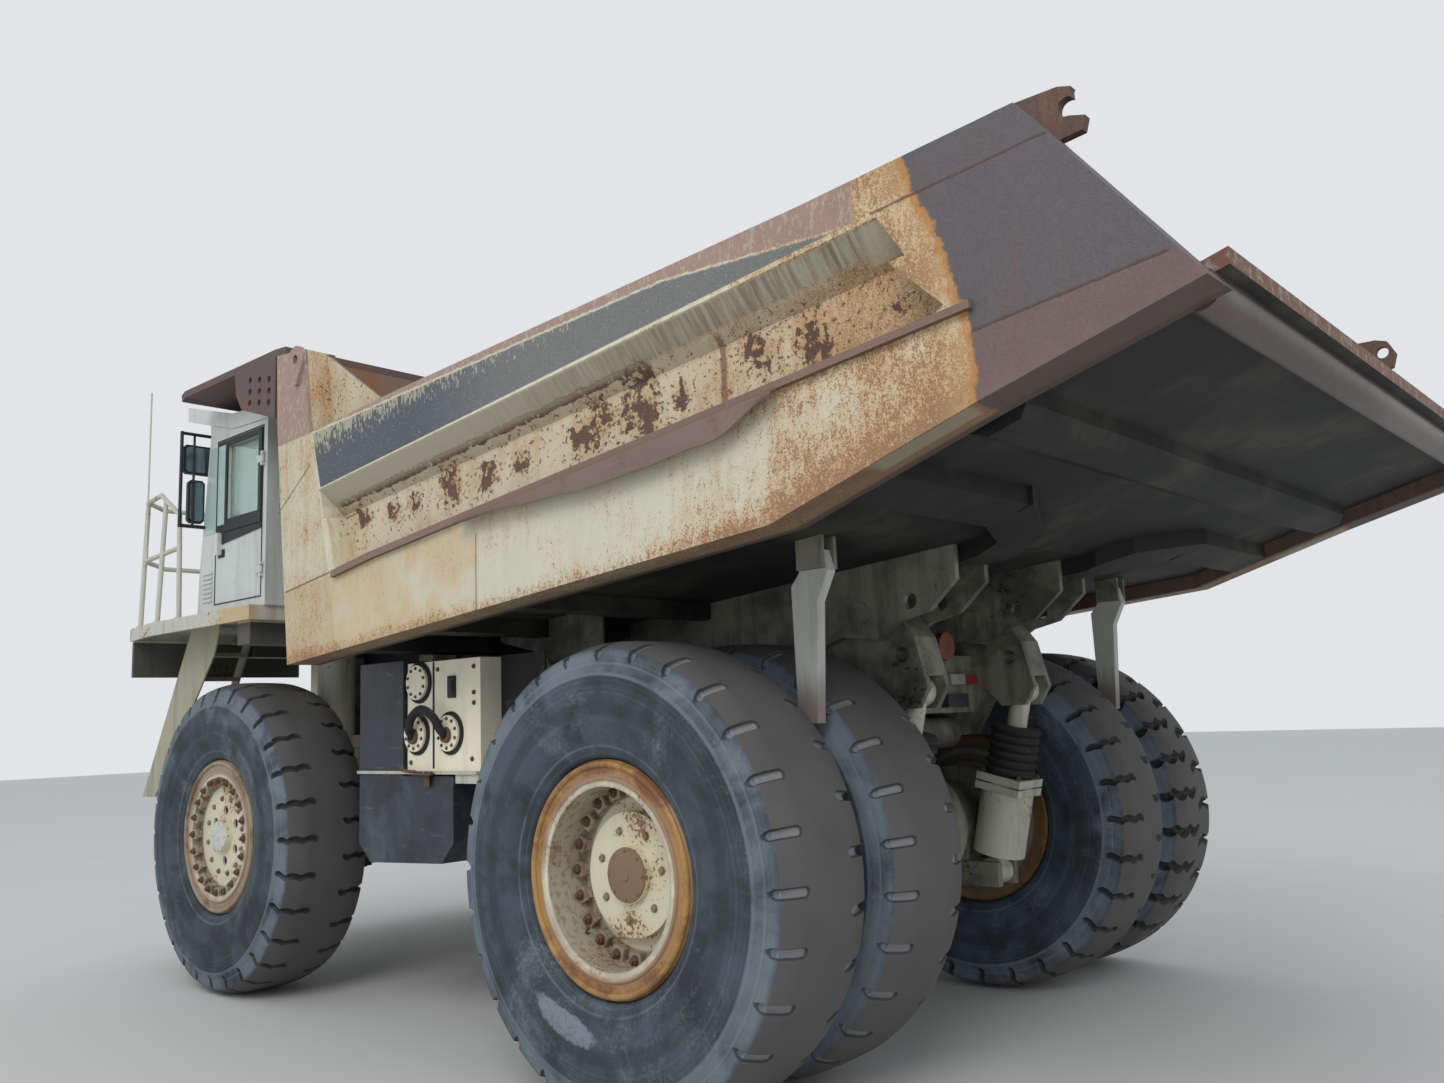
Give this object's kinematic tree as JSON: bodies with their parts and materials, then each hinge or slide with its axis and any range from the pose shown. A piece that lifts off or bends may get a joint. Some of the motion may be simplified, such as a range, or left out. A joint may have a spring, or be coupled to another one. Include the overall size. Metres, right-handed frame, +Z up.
{
  "type": "rigid off-highway mining dump truck",
  "caption": "Two-axle rigid dump truck with twin rear tyres, a tipping rock body with a rising tail and canopy, an offset cab, steering linkage and hoist cylinders.",
  "frame": {"origin": "on the ground, in the middle of the overall length and of the width", "axes": "+X forward, +Y to the driver's left, +Z up"},
  "size_m": [9, 4.9538, 4.5999],
  "materials": {
    "cream_paint": "rusty satin",
    "frame_paint": "dusty matt",
    "rusty_steel": "rusted matt",
    "body_plate": "worn matt",
    "cab_paint": "satin",
    "dark_paint": "dusty satin",
    "cast_iron": "dirty",
    "rod_chrome": "polished",
    "tyre_rubber": "dusty",
    "wheel_paint": "rusty satin",
    "trim_plastic": "matt",
    "lamp_lens": "gloss",
    "window_glass": "clear, pale green"
  },
  "bodies": {
    "chassis": {"frame": "frame_paint", "cross_members": "frame_paint", "bumper": "cream_paint", "engine_block": "cast_iron", "driveline": "cast_iron", "radiator_grille": "cream_paint", "hood": "cream_paint", "deck": "cream_paint", "cab_shell": "cab_paint", "cab_roof": "cab_paint", "cab_windows": "window_glass", "cab_interior": "trim_plastic", "cab_seat": "trim_plastic", "side_rails": "cab_paint", "front_rails": "cab_paint", "ladders": "dark_paint", "mirrors": "trim_plastic", "air_cleaners": "cream_paint", "exhaust": "rusty_steel", "fuel_tank": "frame_paint", "hydraulic_tank": "cream_paint", "battery_box": "dark_paint", "mud_flaps": "tyre_rubber", "lamps": "lamp_lens", "rear_axle": "frame_paint", "rear_oleos": "cream_paint", "rear_bellows": "tyre_rubber", "front_struts": "cream_paint"},
    "dump_body": {"body_floor": "body_plate", "body_sides": "cream_paint", "front_wall": "rusty_steel", "canopy": "rusty_steel", "body_rails": "frame_paint", "body_ribs": "body_plate", "body_lugs": "frame_paint"},
    "ejector_left": {"ejector_arm_left": "frame_paint"},
    "ejector_right": {"ejector_arm_right": "frame_paint"},
    "steering_left": {"knuckle_left": "frame_paint"},
    "steering_right": {"knuckle_right": "frame_paint"},
    "front_wheel_set_left": {"front_tyre_left": "tyre_rubber", "front_wheel_left": "wheel_paint"},
    "front_wheel_set_right": {"front_tyre_right": "tyre_rubber", "front_wheel_right": "wheel_paint"},
    "rear_wheel_set_left": {"rear_tyres_left": "tyre_rubber", "rear_wheel_left": "wheel_paint"},
    "rear_wheel_set_right": {"rear_tyres_right": "tyre_rubber", "rear_wheel_right": "wheel_paint"},
    "tie_rod_link": {"tie_rod": "cast_iron"},
    "ram_left": {"ram_barrel_left": "frame_paint"},
    "ram_right": {"ram_barrel_right": "frame_paint"},
    "ram_piston_left": {"ram_rod_left": "rod_chrome"},
    "ram_piston_right": {"ram_rod_right": "rod_chrome"},
    "hoist_base": {"hoist_barrels": "frame_paint"},
    "hoist_middle": {"hoist_stages": "rod_chrome"},
    "hoist_piston": {"hoist_rods": "rod_chrome"},
    "door": {"cab_door": "cab_paint", "door_glass": "window_glass"}
  },
  "joints": [
    {"name": "dump_tip", "type": "hinge", "parent": "chassis", "child": "dump_body", "pos_m": [-1.97, 0, 2.31], "axis": [0, -1, 0], "range_deg": [0, 55]},
    {"name": "hoist_swing", "type": "hinge", "parent": "chassis", "child": "hoist_base", "pos_m": [-0.87, 0, 1.2], "axis": [0, -1, 0], "range_deg": [0, 25.38]},
    {"name": "hoist_stage_slide", "type": "slide", "parent": "hoist_base", "child": "hoist_middle", "axis": [0.356, 0, 0.9345], "range_m": [0, 0.6193]},
    {"name": "hoist_rod_slide", "type": "slide", "parent": "hoist_middle", "child": "hoist_piston", "axis": [0.356, 0, 0.9345], "range_m": [0, 0.6193]},
    {"name": "ejector_swing_left", "type": "hinge", "parent": "dump_body", "child": "ejector_left", "pos_m": [-2.345, 1.61, 2.5], "axis": [0, 1, 0], "range_deg": [-10, 60]},
    {"name": "ejector_swing_right", "type": "hinge", "parent": "dump_body", "child": "ejector_right", "pos_m": [-2.345, -1.61, 2.5], "axis": [0, 1, 0], "range_deg": [-10, 60]},
    {"name": "steer_left", "type": "hinge", "parent": "chassis", "child": "steering_left", "pos_m": [2.75, 1.15, 1.08], "axis": [0, 0, 1], "range_deg": [-35, 35]},
    {"name": "steer_right", "type": "hinge", "parent": "chassis", "child": "steering_right", "pos_m": [2.75, -1.15, 1.08], "axis": [0, 0, 1], "range_deg": [-35.1, 35.1]},
    {"name": "front_roll_left", "type": "hinge", "parent": "steering_left", "child": "front_wheel_set_left", "pos_m": [2.75, 1.79, 1.08], "axis": [0, 1, 0], "continuous": true},
    {"name": "front_roll_right", "type": "hinge", "parent": "steering_right", "child": "front_wheel_set_right", "pos_m": [2.75, -1.79, 1.08], "axis": [0, 1, 0], "continuous": true},
    {"name": "rear_roll_left", "type": "hinge", "parent": "chassis", "child": "rear_wheel_set_left", "pos_m": [-1.57, 1.61, 1.08], "axis": [0, 1, 0], "continuous": true},
    {"name": "rear_roll_right", "type": "hinge", "parent": "chassis", "child": "rear_wheel_set_right", "pos_m": [-1.57, -1.61, 1.08], "axis": [0, 1, 0], "continuous": true},
    {"name": "tie_rod_swing", "type": "hinge", "parent": "steering_left", "child": "tie_rod_link", "pos_m": [2.33, 1.15, 0.845], "axis": [0, 0, 1], "range_deg": [-35.1, 35.1]},
    {"name": "ram_swing_left", "type": "hinge", "parent": "chassis", "child": "ram_left", "pos_m": [2.809, 0.59056, 1.04], "axis": [0, 0, 1], "range_deg": [-3.55, 3.55]},
    {"name": "ram_swing_right", "type": "hinge", "parent": "chassis", "child": "ram_right", "pos_m": [2.809, -0.59056, 1.04], "axis": [0, 0, 1], "range_deg": [-3.55, 3.55]},
    {"name": "ram_slide_left", "type": "slide", "parent": "ram_left", "child": "ram_piston_left", "axis": [0.2924, 0.9563, 0], "range_m": [-0.1315, 0.1315]},
    {"name": "ram_slide_right", "type": "slide", "parent": "ram_right", "child": "ram_piston_right", "axis": [0.2924, -0.9563, 0], "range_m": [-0.1315, 0.1315]},
    {"name": "door_swing", "type": "hinge", "parent": "chassis", "child": "door", "pos_m": [2.052, 2.134, 3.33], "axis": [0, 0, 1], "range_deg": [0, 80]}
  ],
  "couplings": [
    {"joint": "hoist_swing", "follows": "dump_tip", "ratio": 0.4597},
    {"joint": "hoist_stage_slide", "follows": "dump_tip", "m_per_rad": 0.64415},
    {"joint": "hoist_rod_slide", "follows": "dump_tip", "m_per_rad": 0.64415},
    {"joint": "steer_right", "follows": "steer_left", "ratio": 1},
    {"joint": "tie_rod_swing", "follows": "steer_left", "ratio": -1},
    {"joint": "ram_swing_left", "follows": "steer_left", "ratio": 0.0985},
    {"joint": "ram_swing_right", "follows": "steer_left", "ratio": 0.0985},
    {"joint": "ram_slide_left", "follows": "steer_left", "m_per_rad": 0.2137},
    {"joint": "ram_slide_right", "follows": "steer_left", "m_per_rad": -0.2137}
  ]
}
